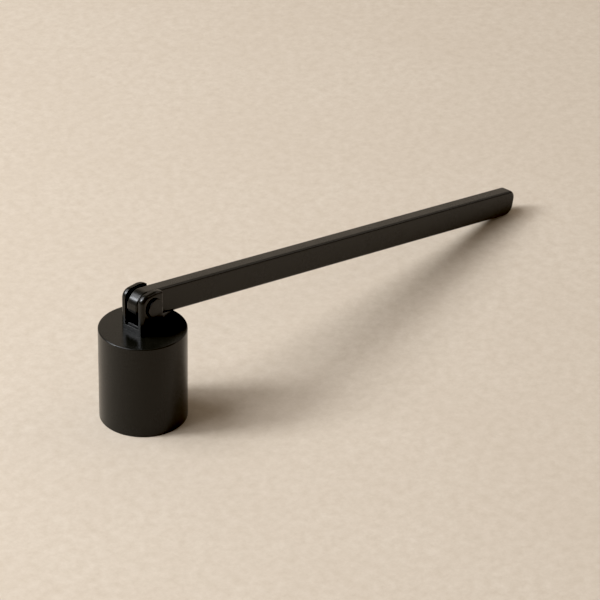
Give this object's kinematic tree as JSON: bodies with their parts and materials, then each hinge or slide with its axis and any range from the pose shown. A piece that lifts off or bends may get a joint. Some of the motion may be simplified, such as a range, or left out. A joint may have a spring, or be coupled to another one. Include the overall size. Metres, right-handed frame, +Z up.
{
  "type": "bell candle snuffer",
  "caption": "Bell candle snuffer: a straight-sided metal cup under a clevis, with a long flat bar handle that swings on a pin.",
  "frame": {"origin": "on the table, under the middle of the bounding box; the cup's rim and the handle's far end both rest on z = 0", "axes": "+X along the snuffer's length, from the cup to the handle's far end; +Y along the hinge pin, away from its plain head; +Z up"},
  "size_m": [0.2132, 0.0302, 0.0492],
  "materials": {
    "black_powder_coat": "satin black powder coat on steel, fine orange peel",
    "black_hardware": "satin black painted steel, slightly worn edges",
    "plain_steel": "turned, zinc-plated steel",
    "black_nylon": "matt moulded nylon"
  },
  "bodies": {
    "bell": {"bell_cup": "black_powder_coat", "clevis": "black_powder_coat", "nut_plate": "black_hardware", "clevis_screw": "plain_steel", "clevis_washer": "plain_steel", "pivot_post": "black_hardware", "pivot_screw": "black_hardware", "near_friction_washer": "black_nylon", "far_friction_washer": "black_nylon"},
    "handle": {"handle_bar": "black_powder_coat"}
  },
  "joints": [
    {"name": "handle_pivot", "type": "hinge", "parent": "bell", "child": "handle", "pos_m": [-0.09107, 0, 0.04375], "axis": [0, -1, 0], "range_deg": [-4.5, 205]}
  ]
}
